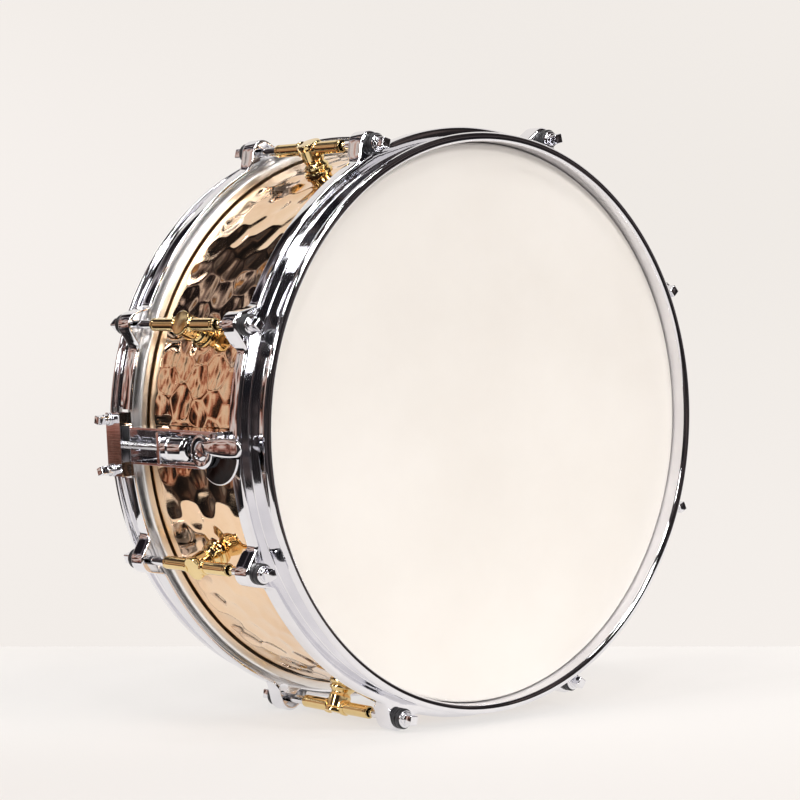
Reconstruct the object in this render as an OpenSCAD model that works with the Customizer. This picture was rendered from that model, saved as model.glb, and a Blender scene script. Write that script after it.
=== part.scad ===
// Snare drum, 14 x 5.5 inch: bronze shell, flanged hoops, tube lugs and a side throw-off.
// Frame: +Z is the drum's axis with the batter head up, and the origin is the centre of the
// snare-side rim plane, the lowest plane of the drum. The throw-off is at -X, the butt at +X.

/* [Shell] */
// Outside diameter of the shell
shell_d = 355.6; // [353:0.1:358]
// Length of the shell between its two bearing edges
shell_depth = 139.7; // [136:0.1:145]
// Thickness of the shell's sheet
shell_wall = 1.2; // [0.8:0.1:1.6]
// Diameter of the air hole in the vent grommet
vent_d = 10; // [8:0.5:12]

/* [Hoops] */
// Distance from each rim plane down to the bearing edge
rim_rise = 10.75; // [10:0.05:12]
// Height of a hoop from its rim to the end of its skirt
hoop_h = 29.5; // [28:0.5:31]
// Depth of the outward step below the rim
step_depth = 20; // [19:0.5:21]
// Thickness of the hoops' sheet
hoop_t = 2.3; // [1.6:0.1:2.6]
// Width of the snare gates
gate_w = 43; // [42:0.5:46]

/* [Tension] */
// Number of lugs round the shell
lug_n = 8; // [8]
// Radial distance from the shell to the tension rods
rod_offset = 16.2; // [16:0.1:17]
// Diameter of a tension rod
rod_d = 5.5; // [5.2:0.1:5.8]
// Length of a lug's tube
tube_l = 64; // [60:1:70]
// Outside diameter of a lug's tube
tube_d = 8.2; // [8:0.1:9]
// Diameter of a lug's post
post_d = 14.5; // [13:0.5:16]

/* [Throw-off] */
// Height of the lever's pivot above the snare-side rim plane
pivot_z = 119.5; // [119:0.5:120.5]
// Width of the throw-off's frame
frame_w = 23; // [22.6:0.1:24]
// Diameter of the tension knob
knob_d = 16; // [15:0.5:16]
// Throw of the cam pin
cam_throw = 5; // [4.6:0.1:5.2]

/* [Snares] */
// Number of snare strands
strand_n = 20; // [16:2:20]
// Pitch between neighbouring strands
strand_pitch = 1.9; // [1.8:0.05:2]
// Width of the straps
strap_w = 25; // [20:1:27]

/* [Hidden] */
$fn = 96;

eps = 0.01;
big = 400;
run_gap = 0.05;             // radial clearance of a turning shaft

shell_r = shell_d / 2;
total_h = shell_depth + 2 * rim_rise;
mid_z = total_h / 2;
rod_circle_r = shell_r + rod_offset;
lug_step = 360 / lug_n;
vent_angle = 45;

// Heads
film_t = 0.25;
film_gap = 0.1;             // film outside the shell
flesh_in = 1.1;             // flesh hoop's radii, outside the shell
flesh_out = 6.4;
flesh_h = 11.7;
film_tuck = 2.6;            // depth of the film's groove in the flesh hoop

// Hoop radii, outside the shell
wall_in = 0.7;
wall_out = wall_in + hoop_t;
lip_out = 6.7;
skirt_out = 11.1;
skirt_in = skirt_out - hoop_t;
lip_h = 6;                  // depth of the continuous lip that bridges a gate

// Ears
ear_r = 8.3;
ear_half_base = 15;
ear_base_r = shell_r + 8;
ear_h = 13;
ear_hole_d = 7;
ear_steps = 14;

// Tension rods, as depths below the rim plane
washer_t = 5;
washer_d = 13;
collar_t = 1.6;
collar_d = 11;
peg_w = 6.3;
peg_top = 6;
seat_gap = 0.05;
rod_in_tube = 20;
washer_base = step_depth;
collar_base = washer_base - washer_t - seat_gap;
rod_end = mid_z - tube_l / 2 + rod_in_tube;

// Lug posts, as heights above the shell
post_h = 20.4;
post_bore_d = 5;
post_bore_h = 11;
screw_d = 4.9;
screw_head_d = 9;
screw_head_h = 3;
inner_washer_d = 12;
inner_washer_t = 1;

// Throw-off, as radii from the drum's axis and heights above the snare-side rim plane
back_r = shell_r + 2.5;     // frame's back plate
back_t = 2;
frame_front_r = shell_r + 17;
frame_wall = 1.5;
frame_z0 = 35;
frame_z1 = pivot_z + 11.5;
back_z1 = total_h - step_depth - hoop_t - flesh_h - 0.7;  // clear of the batter flesh hoop
end_r0 = shell_r + flesh_out + 1.2;
frame_end_t = 3;
window_z1 = pivot_z - 11;   // top of the open front
bridge_r = shell_r + 13.5;
channel_y = frame_w / 2 - frame_wall;
screw_axis_r = shell_r + 15;
mount_z = [50, 100];
boss_d = 10;
slide_gap = 0.3;
carriage_y = channel_y - slide_gap;
arm_t = 1.4;
arm_r0 = shell_r + 7.4;
arm_r1 = shell_r + 13.2;
shelf_z = 72;
shelf_t = 2.7;
knob_z0 = shelf_z + shelf_t + 0.1;
knob_h = 25;
cam_pin_d = 3;
cam_pin_r0 = shell_r + 7.8;
cam_disc_d = 14;
cam_disc_r0 = shell_r + 11.2;
cam_disc_t = 1.9;
spindle_d = 8;
cam_offset = cam_throw * cos(45);
slot_play = 0.3;
follower_r1 = cam_disc_r0 - slide_gap;
lever_r0 = frame_front_r + 0.4;
lever_r1 = lever_r0 + 2.8;  // back of the lever's hub disc and arm
lever_r2 = lever_r1 + 3.4;
hub_d = 21;
arm_l = 38;
arm_w = 10;
arm_y = 3;                  // the arm's offset from the pivot
boss_r = 6.5;
paddle_t = 2;
paddle_r = 20;
paddle_z = pivot_z + 12;

// Strap clamp at the throw-off, repeated at the butt
clamp_z0 = 14.5;
clamp_h = 15;
clamp_half_w = 20;
jaw_r0 = shell_r + 9.4;
jaw_t = 2.3;
strap_t = 0.4;
strap_r = jaw_r0 + jaw_t + 0.1;
block_r0 = strap_r + strap_t + 0.1;
block_r1 = shell_r + 18.4;
clamp_screw_y = 16;
clamp_screw_z = 18.5;
clamp_screw_d = 3.8;
clamp_head_r1 = shell_r + 28;

// Butt
foot_z0 = 38;
foot_z1 = 62;
foot_half_w = 14;
butt_plate_r0 = shell_r + 7.2;
butt_mount_z = [44, 56];

// Snares
strand_r = 0.85;
strand_z = rim_rise - 1.15;
strand_half_l = 152;
end_plate_l = 11;
end_plate_z0 = rim_rise - 1.85;
end_plate_t = 1.4;
end_plate_half_w = 20.5;
strap_x0 = 155;
strap_z = rim_rise - 2.3;
strap_bend = 2.5;

function lug_angle(i) = lug_step * (i - 0.5);

// The batter side mirrors the snare side about the drum's middle plane.
module batter_side() translate([0, 0, total_h]) mirror([0, 0, 1]) children();
module at_lug(i) rotate([0, 0, lug_angle(i)]) children();
// Puts a piece that is drawn at +X at the throw-off, at -X.
module strainer_side() mirror([1, 0, 0]) children();
// A cylinder along +X from radius r0 to radius r1.
module radial_rod(r0, r1, d) translate([r0, 0, 0]) rotate([0, 90, 0]) cylinder(d = d, h = r1 - r0);
// A box from radius r0 to r1, symmetric in Y, from z0 to z1.
module radial_box(r0, r1, half_w, z0, z1)
    translate([r0, -half_w, z0]) cube([r1 - r0, 2 * half_w, z1 - z0]);

// ---- Shell and heads ----

module shell() {
    z0 = rim_rise;
    z1 = total_h - rim_rise;
    fold = 3.2;             // inward roll of a bearing edge
    color("peru") difference() {
        rotate_extrude($fn = 180) polygon([
            [shell_r, z0 + 1.2], [shell_r, z1 - 1.2], [shell_r - 1.2, z1], [shell_r - 2, z1],
            [shell_r - fold - 1, z1 - fold], [shell_r - fold - 0.2, z1 - fold - 0.9],
            [shell_r - shell_wall, z1 - 2.6], [shell_r - shell_wall, z0 + 2.6],
            [shell_r - fold - 0.2, z0 + fold + 0.9], [shell_r - fold - 1, z0 + fold],
            [shell_r - 2, z0], [shell_r - 1.2, z0]
        ]);
        for (i = [1 : lug_n]) at_lug(i) translate([0, 0, mid_z]) radial_rod(shell_r - 10, shell_r + 10, 5.4);
        for (z = mount_z) strainer_side() translate([0, 0, z]) radial_rod(shell_r - 10, shell_r + 10, 5.4);
        for (z = butt_mount_z) translate([0, 0, z]) radial_rod(shell_r - 10, shell_r + 10, 5.4);
        rotate([0, 0, vent_angle]) translate([0, 0, mid_z]) radial_rod(shell_r - 10, shell_r + 10, vent_d + 2.6);
    }
}

module vent_grommet() {
    flange_d = vent_d + 8;
    color("silver") rotate([0, 0, vent_angle]) translate([0, 0, mid_z]) difference() {
        union() {
            radial_rod(shell_r - 3, shell_r + 1.8, vent_d + 2.4);
            radial_rod(shell_r + 0.1, shell_r + 1.8, flange_d);
            radial_rod(shell_r - 3.2, shell_r - shell_wall - 0.4, flange_d - 2);
        }
        radial_rod(shell_r - 10, shell_r + 10, vent_d);
    }
}

// Film of one head, drawn on the snare side: a disc, a collar and the tuck into its hoop.
module head_film() {
    flat_z = rim_rise - film_t;
    collar_r = shell_r + film_gap;
    tuck_z = step_depth + hoop_t + film_tuck;
    rotate_extrude($fn = 180) polygon([
        [0, flat_z], [collar_r + film_t, flat_z], [collar_r + film_t, tuck_z],
        [shell_r + flesh_in + 1.6, tuck_z], [shell_r + flesh_in + 1.6, tuck_z + film_t],
        [collar_r, tuck_z + film_t], [collar_r, rim_rise], [0, rim_rise]
    ]);
}

module flesh_hoop() {
    z0 = step_depth + hoop_t;
    tuck_z = z0 + film_tuck;
    rotate_extrude($fn = 180) polygon([
        [shell_r + flesh_in, z0], [shell_r + flesh_out - 0.8, z0], [shell_r + flesh_out, z0 + 0.8],
        [shell_r + flesh_out, z0 + flesh_h - 0.8], [shell_r + flesh_out - 0.8, z0 + flesh_h],
        [shell_r + flesh_in, z0 + flesh_h], [shell_r + flesh_in, tuck_z + film_t],
        [shell_r + flesh_in + 1.7, tuck_z + film_t], [shell_r + flesh_in + 1.7, tuck_z],
        [shell_r + flesh_in, tuck_z]
    ]);
}

module batter_head() color("ivory") batter_side() head_film();
module snare_head() color("whitesmoke") head_film();
module batter_flesh_hoop() color("silver") batter_side() flesh_hoop();
module snare_flesh_hoop() color("silver") flesh_hoop();

// ---- Hoops ----

// Outline of an ear, as seen along the drum's axis: a round end about the rod, running into the hoop.
function ear_outline(shrink) = concat(
    [[ear_base_r - 4, -(ear_half_base - shrink)], [ear_base_r, -(ear_half_base - shrink)]],
    [for (k = [0 : ear_steps]) let (a = -68 + 136 * k / ear_steps)
        [rod_circle_r + (ear_r - shrink) * cos(a), (ear_r - shrink) * sin(a)]],
    [[ear_base_r, ear_half_base - shrink], [ear_base_r - 4, ear_half_base - shrink]]
);

module hoop_ring() rotate_extrude($fn = 180) polygon([
    [shell_r + wall_in, 2.4], [shell_r + wall_in + 0.5, 1], [shell_r + wall_in + 1.7, 0.2],
    [shell_r + wall_in + 2.4, 0], [shell_r + lip_out - 1.6, 0], [shell_r + lip_out - 0.5, 0.6],
    [shell_r + lip_out, 1.9], [shell_r + lip_out - 0.3, 3.1], [shell_r + lip_out - 1.4, 3.9],
    [shell_r + wall_out + 0.6, 4.4], [shell_r + wall_out, 5.4],
    [shell_r + wall_out, step_depth - 0.6], [shell_r + wall_out + 0.6, step_depth],
    [shell_r + skirt_out - 2.2, step_depth], [shell_r + skirt_out - 0.7, step_depth + 0.6],
    [shell_r + skirt_out, step_depth + 2.2],
    [shell_r + skirt_out, hoop_h], [shell_r + skirt_in, hoop_h],
    [shell_r + skirt_in, step_depth + hoop_t], [shell_r + wall_in, step_depth + hoop_t]
]);

module hoop(gates) difference() {
    union() {
        hoop_ring();
        for (i = [1 : lug_n]) at_lug(i) difference() {
            translate([0, 0, step_depth]) linear_extrude(ear_h) polygon(ear_outline(0));
            translate([0, 0, -eps]) cylinder(r = shell_r + wall_out, h = big, $fn = 180);
            translate([0, 0, step_depth + 1]) cylinder(r = shell_r + skirt_in + 0.8, h = big, $fn = 180);
        }
    }
    for (i = [1 : lug_n]) at_lug(i) {
        translate([0, 0, step_depth + hoop_t + 0.15]) linear_extrude(ear_h) polygon(ear_outline(hoop_t));
        translate([rod_circle_r, 0, step_depth - 1]) cylinder(d = ear_hole_d, h = hoop_t + 2);
    }
    if (gates) for (side = [0, 180]) rotate([0, 0, side])
        radial_box(shell_r - 5, shell_r + 20, gate_w / 2, lip_h, hoop_h + 5);
}

module batter_hoop() color("gainsboro") batter_side() hoop(false);
module snare_hoop() color("gainsboro") hoop(true);

// ---- Lugs ----

module lug_post() rotate([0, 90, 0]) rotate_extrude() polygon([
    [0, -1.5], [9.5, -1.5], [9.5, 1], [8.9, 1.8], [7.3, 2.4], [8.3, 3.4], [8.3, 4.8], [7.3, 5.8],
    [6.3, 6.6], [6.3, 7.6], [post_d / 2, 9.2], [post_d / 2, post_h - 4], [post_d / 2 + 0.6, post_h - 2.4],
    [post_d / 2 + 0.6, post_h - 0.6], [post_d / 2, post_h], [0, post_h]
]);

module lug(i) {
    band_h = 2.4;
    color("goldenrod") at_lug(i) difference() {
        union() {
            translate([shell_r, 0, mid_z]) lug_post();
            translate([rod_circle_r, 0, mid_z - tube_l / 2]) cylinder(d = tube_d, h = tube_l);
            for (end = [-1, 1]) translate([rod_circle_r, 0, mid_z + end * (post_d / 2 + 0.9) - band_h / 2])
                cylinder(d = tube_d + 1.8, h = band_h);
        }
        translate([rod_circle_r, 0, mid_z - tube_l]) cylinder(d = rod_d + 2 * run_gap, h = 2 * tube_l);
        translate([0, 0, mid_z]) radial_rod(shell_r - 5, shell_r + post_bore_h, post_bore_d);
        translate([0, 0, mid_z - 20]) cylinder(r = shell_r, h = 40, $fn = 180);
    }
}

// A pan-head screw that goes outward through the shell, drawn at +X.
module shell_screw(reach) difference() {
    head_r0 = shell_r - shell_wall - inner_washer_t - 0.4;
    union() {
        radial_rod(head_r0, shell_r + reach, screw_d);
        radial_rod(head_r0 - screw_head_h, head_r0, screw_head_d);
    }
    radial_rod(head_r0 - screw_head_h - 1, head_r0 - screw_head_h + 1.6, 3);
}

module lug_screws() color("silver")
    for (i = [1 : lug_n]) at_lug(i) translate([0, 0, mid_z]) shell_screw(post_bore_h - 1.5);

module shell_washer() difference() {
    washer_r0 = shell_r - shell_wall - inner_washer_t - 0.4;
    radial_rod(washer_r0, washer_r0 + inner_washer_t, inner_washer_d);
    radial_rod(washer_r0 - 1, washer_r0 + 3, screw_d + 0.4);
}

module shell_washers() color("dimgray") {
    for (i = [1 : lug_n]) at_lug(i) translate([0, 0, mid_z]) shell_washer();
    for (z = mount_z) strainer_side() translate([0, 0, z]) shell_washer();
    for (z = butt_mount_z) translate([0, 0, z]) shell_washer();
}

// ---- Tension rods, drawn on the snare side ----

module tension_rod() {
    translate([rod_circle_r, 0, 0]) {
        translate([0, 0, collar_base - collar_t]) cylinder(d = rod_d, h = rod_end - collar_base + collar_t);
        translate([0, 0, collar_base - collar_t]) cylinder(d = collar_d, h = collar_t);
        translate([0, 0, collar_base - collar_t - 1.5]) cylinder(d = 9, h = 1.5 + eps);
        translate([-peg_w / 2, -peg_w / 2, peg_top]) cube([peg_w, peg_w, collar_base - collar_t - peg_top]);
    }
}

module rod_washers() for (i = [1 : lug_n]) at_lug(i) translate([rod_circle_r, 0, washer_base - washer_t])
    difference() {
        union() {
            cylinder(d = washer_d, h = washer_t * 0.4);
            translate([0, 0, washer_t * 0.4]) cylinder(d = washer_d - 1.6, h = washer_t * 0.2);
            translate([0, 0, washer_t * 0.6]) cylinder(d = washer_d, h = washer_t * 0.4);
        }
        translate([0, 0, -1]) cylinder(d = rod_d + 2 * run_gap, h = washer_t + 2);
    }

module batter_rod(i) color("silver") batter_side() at_lug(i) tension_rod();
module snare_rod(i) color("silver") at_lug(i) tension_rod();
module batter_rod_washers() color("dimgray") batter_side() rod_washers();
module snare_rod_washers() color("dimgray") rod_washers();

// ---- Throw-off ----

// Outline of the frame in the X-Z plane, with its front corners cut back and its back plate
// ending short of the batter flesh hoop.
module frame_prism() translate([0, frame_w / 2, 0]) rotate([90, 0, 0]) linear_extrude(frame_w) polygon([
    [back_r, frame_z0], [frame_front_r - 3, frame_z0], [frame_front_r, frame_z0 + 3],
    [frame_front_r, frame_z1 - 3], [frame_front_r - 3, frame_z1], [end_r0, frame_z1], [end_r0, back_z1],
    [back_r, back_z1]
]);

module strainer_frame() color("gainsboro") strainer_side() difference() {
    union() {
        difference() {
            frame_prism();
            radial_box(back_r + back_t, frame_front_r + 1, channel_y, frame_z0 + frame_end_t, window_z1);
            radial_box(back_r + back_t, bridge_r, channel_y, window_z1 - 1, frame_z1 - 2);
        }
        for (z = mount_z) translate([0, 0, z]) radial_rod(shell_r - 2, back_r + 3.4, boss_d);
    }
    for (z = mount_z) translate([0, 0, z]) radial_rod(shell_r - 5, back_r + 2.6, post_bore_d);
    translate([screw_axis_r, 0, frame_z0 - 1]) cylinder(d = 5.4, h = frame_end_t + 2);
    translate([0, 0, pivot_z]) radial_rod(bridge_r - 1, frame_front_r + 1, spindle_d + 2 * run_gap);
    translate([0, 0, frame_z0 - 1]) cylinder(r = shell_r, h = frame_z1, $fn = 180);
}

module strainer_screws() color("silver") strainer_side()
    for (z = mount_z) translate([0, 0, z]) shell_screw(4.6);

// Carries the knob, and is moved along Z by the cam pin in its slot.
module strainer_carriage() color("silver") strainer_side() difference() {
    follower_z0 = pivot_z - 9;
    follower_z1 = pivot_z + 9.2;
    pin_y1 = cam_throw + cam_pin_d / 2 + slot_play;
    pin_y0 = cam_offset - cam_pin_d / 2 - slot_play;
    slot_half_h = cam_pin_d / 2 + slot_play;
    union() {
        radial_box(shell_r + 7, shell_r + 21.5, carriage_y, shelf_z, shelf_z + shelf_t);
        for (y = [-carriage_y, carriage_y - arm_t])
            translate([arm_r0, y, shelf_z]) cube([arm_r1 - arm_r0, arm_t, window_z1 + 1 - shelf_z]);
        radial_box(arm_r0, follower_r1, carriage_y, follower_z0, follower_z1);
        for (y = [-carriage_y, carriage_y - arm_t])
            translate([arm_r0, y, window_z1]) cube([follower_r1 - arm_r0, arm_t, 3]);
    }
    translate([screw_axis_r, 0, shelf_z - 1]) cylinder(d = 5.4, h = shelf_t + 2);
    translate([arm_r0 - 1, pin_y0, pivot_z + cam_offset - slot_half_h])
        cube([follower_r1 - arm_r0 + 2, pin_y1 - pin_y0, 2 * slot_half_h]);
}

module tension_knob() color("gainsboro") strainer_side() translate([screw_axis_r, 0, knob_z0]) difference() {
    rotate_extrude() polygon([
        [0, 0], [knob_d / 2 - 1.4, 0], [knob_d / 2 - 1.4, 1.6], [knob_d / 2, 2.4], [knob_d / 2, 8],
        [knob_d / 2 - 0.6, 8.6], [knob_d / 2 - 0.6, 17], [knob_d / 2, 17.6], [knob_d / 2, knob_h - 1.4],
        [knob_d / 2 - 1.4, knob_h], [0, knob_h]
    ]);
    translate([0, 0, -1]) cylinder(d = 4.8 + 2 * run_gap, h = 24);
}

module tension_screw() color("silver") strainer_side() translate([screw_axis_r, 0, 0]) {
    screw_z0 = clamp_z0 + 4.2;
    translate([0, 0, screw_z0]) cylinder(d = 4.8, h = knob_z0 + 17 - screw_z0);
}

module strap_clamp_block() color("gainsboro") strainer_side() difference() {
    radial_box(block_r0, block_r1, clamp_half_w, clamp_z0, clamp_z0 + clamp_h);
    translate([screw_axis_r, 0, clamp_z0 + 4]) cylinder(d = 4.9, h = clamp_h);
    for (y = [-clamp_screw_y, clamp_screw_y]) translate([0, y, clamp_screw_z])
        radial_rod(block_r0 - 1, block_r1 + 1, clamp_screw_d + 0.3);
}

module strap_clamp_jaw() color("silver") strainer_side() difference() {
    radial_box(jaw_r0, jaw_r0 + jaw_t, clamp_half_w, clamp_z0, clamp_z0 + clamp_h);
    for (y = [-clamp_screw_y, clamp_screw_y]) translate([0, y, clamp_screw_z])
        radial_rod(jaw_r0 - 1, jaw_r0 + jaw_t + 1, clamp_screw_d + 0.1);
}

// A pair of key-headed screws that hold a strap clamp together, drawn at +X.
module clamp_screw_pair() for (y = [-clamp_screw_y, clamp_screw_y]) translate([0, y, clamp_screw_z]) {
    radial_rod(jaw_r0 + 0.2, block_r1 + 2, clamp_screw_d);
    radial_rod(block_r1 + 0.02, block_r1 + 1.6, 8);
    radial_rod(block_r1 + 1.6, block_r1 + 5, 6.4);
    translate([block_r1 + 5, -2.6, -2.6]) cube([clamp_head_r1 - block_r1 - 5, 5.2, 5.2]);
}

module strap_clamp_screws() color("silver") strainer_side() clamp_screw_pair();

// Lever: a hub disc on a short boss, and an arm that points at the batter hoop.
module throw_off_lever() color("gainsboro") strainer_side() difference() {
    union() {
        translate([0, 0, pivot_z]) radial_rod(lever_r0, lever_r1, 2 * boss_r);
        translate([0, 0, pivot_z]) radial_rod(lever_r1, lever_r2, hub_d);
        translate([0, arm_y, 0])
            radial_box(lever_r1 + 0.2, lever_r2 - 0.4, arm_w / 2, pivot_z, pivot_z + arm_l - arm_w / 2);
        translate([0, arm_y, pivot_z + arm_l - arm_w / 2]) radial_rod(lever_r1 + 0.2, lever_r2 - 0.4, arm_w);
    }
    translate([0, 0, pivot_z]) radial_rod(lever_r0 - 1, lever_r2 - 1.6, 5);
    translate([0, 0, pivot_z]) radial_rod(lever_r2 - 1.6, lever_r2 + 1, 11.2);
}

// A D-shaped thumb paddle on the -Y side of the lever, behind its arm.
module lever_paddle() color("dimgray") strainer_side() difference() {
    translate([0, 0, paddle_z]) radial_rod(lever_r1 - paddle_t, lever_r1, 2 * paddle_r);
    translate([lever_r1 - paddle_t - 1, -3, paddle_z - big / 2]) cube([paddle_t + 2, big, big]);
    translate([lever_r1 - paddle_t - 1, -big / 2, pivot_z - big]) cube([paddle_t + 2, big, big]);
    translate([0, 0, pivot_z]) radial_rod(lever_r1 - paddle_t - 1, lever_r1 + 1, 2 * (boss_r + 0.1));
}

module cam_spindle() color("silver") strainer_side() translate([0, 0, pivot_z]) difference() {
    union() {
        radial_rod(cam_disc_r0 + cam_disc_t, lever_r0 - 0.02, spindle_d);
        radial_rod(cam_disc_r0, cam_disc_r0 + cam_disc_t, cam_disc_d);
        translate([0, cam_offset, cam_offset]) radial_rod(cam_pin_r0, cam_disc_r0, cam_pin_d);
    }
    radial_rod(cam_disc_r0 + 1, lever_r0 + 1, 4);
}

module lever_screw() color("silver") strainer_side() translate([0, 0, pivot_z]) difference() {
    union() {
        radial_rod(lever_r0 - 4, lever_r2 - 1, 3.9);
        radial_rod(lever_r2 - 1.58, lever_r2 + 0.3, 11);
    }
    translate([lever_r2 - 0.7, -6, -0.7]) cube([2, 12, 1.4]);
}

// ---- Butt ----

module butt_body() color("gainsboro") difference() {
    union() {
        radial_box(shell_r - 2, butt_plate_r0 + 1, foot_half_w, foot_z0, foot_z1);
        radial_box(butt_plate_r0, jaw_r0 + jaw_t, clamp_half_w, clamp_z0, foot_z1);
    }
    for (z = butt_mount_z) translate([0, 0, z]) radial_rod(shell_r - 5, shell_r + 8.6, post_bore_d);
    for (y = [-clamp_screw_y, clamp_screw_y]) translate([0, y, clamp_screw_z])
        radial_rod(jaw_r0 - 0.4, jaw_r0 + jaw_t + 1, clamp_screw_d + 0.1);
    translate([0, 0, foot_z0 - 5]) cylinder(r = shell_r, h = foot_z1, $fn = 180);
}

module butt_clamp_plate() color("gainsboro") difference() {
    radial_box(block_r0, block_r1, clamp_half_w, clamp_z0, clamp_z0 + clamp_h);
    for (y = [-clamp_screw_y, clamp_screw_y]) translate([0, y, clamp_screw_z])
        radial_rod(block_r0 - 1, block_r1 + 1, clamp_screw_d + 0.3);
}

module butt_clamp_screws() color("silver") clamp_screw_pair();

module butt_screws() color("silver") for (z = butt_mount_z) translate([0, 0, z]) shell_screw(7.5);

// ---- Snares ----

module snare_wires() color("silver") for (k = [0 : strand_n - 1])
    translate([-strand_half_l, (k - (strand_n - 1) / 2) * strand_pitch, strand_z])
        rotate([0, 90, 0]) cylinder(r = strand_r, h = 2 * strand_half_l, $fn = 24);

module snare_end_plate() radial_box(strand_half_l, strand_half_l + end_plate_l, end_plate_half_w,
    end_plate_z0, end_plate_z0 + end_plate_t);

// Ribbon from an end plate out through the gate and up into the clamp.
module strap() rotate([90, 0, 0]) linear_extrude(strap_w, center = true) polygon(concat(
    [[strap_x0, strap_z + strap_t], [strap_x0, strap_z]],
    [for (k = [0 : 6]) let (a = -90 + 15 * k)
        [strap_r + strap_t - strap_bend + strap_bend * cos(a), strap_z + strap_bend + strap_bend * sin(a)]],
    [[strap_r + strap_t, clamp_z0 + clamp_h], [strap_r, clamp_z0 + clamp_h]],
    [for (k = [6 : -1 : 0]) let (a = -90 + 15 * k)
        [strap_r + strap_t - strap_bend + (strap_bend - strap_t) * cos(a),
         strap_z + strap_bend + (strap_bend - strap_t) * sin(a)]]
));

module snare_end_plate_1() color("gold") mirror([1, 0, 0]) snare_end_plate();
module snare_end_plate_2() color("gold") snare_end_plate();
module strainer_strap() color("black") strainer_side() strap();
module butt_strap() color("black") strap();

shell();
vent_grommet();
batter_head();
batter_flesh_hoop();
snare_head();
snare_flesh_hoop();
batter_hoop();
snare_hoop();
for (i = [1 : lug_n]) lug(i);
lug_screws();
shell_washers();
for (i = [1 : lug_n]) batter_rod(i);
for (i = [1 : lug_n]) snare_rod(i);
batter_rod_washers();
snare_rod_washers();
strainer_frame();
strainer_screws();
strainer_carriage();
tension_knob();
tension_screw();
strap_clamp_block();
strap_clamp_jaw();
strap_clamp_screws();
throw_off_lever();
lever_paddle();
cam_spindle();
lever_screw();
butt_body();
butt_clamp_plate();
butt_clamp_screws();
butt_screws();
snare_wires();
snare_end_plate_1();
snare_end_plate_2();
strainer_strap();
butt_strap();
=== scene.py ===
"""Looks of a 14 x 5.5 inch snare drum with a hammered bronze shell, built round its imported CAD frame."""

import math

import bmesh
import bpy
import numpy as np
from mathutils import Matrix, Vector

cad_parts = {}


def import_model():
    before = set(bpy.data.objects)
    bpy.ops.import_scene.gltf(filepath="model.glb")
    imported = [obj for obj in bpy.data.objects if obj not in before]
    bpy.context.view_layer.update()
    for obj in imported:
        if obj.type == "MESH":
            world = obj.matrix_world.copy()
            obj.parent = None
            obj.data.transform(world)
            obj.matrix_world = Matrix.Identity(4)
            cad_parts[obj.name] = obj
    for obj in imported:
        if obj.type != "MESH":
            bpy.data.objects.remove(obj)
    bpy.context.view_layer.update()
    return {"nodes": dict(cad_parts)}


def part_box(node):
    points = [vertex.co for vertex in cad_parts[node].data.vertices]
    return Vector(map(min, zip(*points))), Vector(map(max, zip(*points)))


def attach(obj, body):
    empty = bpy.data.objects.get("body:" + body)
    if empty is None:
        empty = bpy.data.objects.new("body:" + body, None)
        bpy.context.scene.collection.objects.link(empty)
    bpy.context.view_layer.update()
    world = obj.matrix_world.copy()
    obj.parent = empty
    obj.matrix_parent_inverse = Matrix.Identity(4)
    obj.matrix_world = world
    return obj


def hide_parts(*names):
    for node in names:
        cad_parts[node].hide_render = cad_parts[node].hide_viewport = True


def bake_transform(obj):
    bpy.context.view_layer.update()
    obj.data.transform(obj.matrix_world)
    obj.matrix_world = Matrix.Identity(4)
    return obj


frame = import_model()

MM = 0.001
LUG_COUNT = 8
rng = np.random.default_rng(14)

# ---- Driving sizes, in millimetres, read from the frame ----


def box_mm(node):
    low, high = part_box(node)
    return low / MM, high / MM


SHELL_LOW, SHELL_HIGH = box_mm("shell")
SHELL_R = SHELL_HIGH.x
TOTAL_H = box_mm("batter_hoop")[1].z
MID_Z = TOTAL_H / 2
HOOP_H = box_mm("snare_hoop")[1].z
ROD_LOW, ROD_HIGH = box_mm("snare_rod_1")
ROD_MID = (ROD_LOW + ROD_HIGH) / 2
ROD_CIRCLE_R = math.hypot(ROD_MID.x, ROD_MID.y)
TUBE_LOW = box_mm("lug_1")[0].z
TUBE_HIGH = box_mm("lug_1")[1].z
LUG_STEP = 360 / LUG_COUNT


def lug_angle(i):
    return LUG_STEP * (i - 0.5)


# ---- Mesh tools. Shapes are (vertices, faces) in millimetres ----


class Shapes:
    """Gathers closed shapes that make one piece."""

    def __init__(self):
        self.verts = []
        self.faces = []

    def add(self, shape, place=Matrix()):
        verts, faces = shape
        base = len(self.verts)
        self.verts += [tuple(place @ Vector(v)) for v in verts]
        self.faces += [[base + k for k in face] for face in faces]
        return self


def mesh_object(name, verts, faces, material, sharp_deg=32):
    """A smooth-shaded object from vertices in millimetres, with edges over sharp_deg kept sharp."""
    mesh = bpy.data.meshes.new(name)
    scaled = np.asarray(verts, float) * MM
    mesh.from_pydata(scaled.tolist(), [], faces if isinstance(faces, list) else faces.tolist())
    mesh.materials.append(material)
    mesh.shade_smooth()
    mesh.set_sharp_from_angle(angle=math.radians(sharp_deg))
    piece = bpy.data.objects.new(name, mesh)
    bpy.context.scene.collection.objects.link(piece)
    return piece


def place_piece(piece, body, nodes):
    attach(piece, body)
    if nodes:
        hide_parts(*nodes)
    return piece


def shapes_piece(name, shapes, material, body, nodes, sharp_deg=32):
    piece = mesh_object(name, shapes.verts, shapes.faces, material, sharp_deg)
    return place_piece(piece, body, nodes)


def grid_faces(rows, columns, wrap_rows, wrap_columns):
    """Quads of a rows x columns grid of vertices, numbered row by row."""
    r = np.arange(rows if wrap_rows else rows - 1)
    c = np.arange(columns if wrap_columns else columns - 1)
    rr, cc = np.meshgrid(r, c, indexing="ij")
    r1 = (rr + 1) % rows
    c1 = (cc + 1) % columns
    quads = np.stack([rr * columns + cc, rr * columns + c1, r1 * columns + c1, r1 * columns + cc], -1)
    return quads.reshape(-1, 4)


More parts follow.
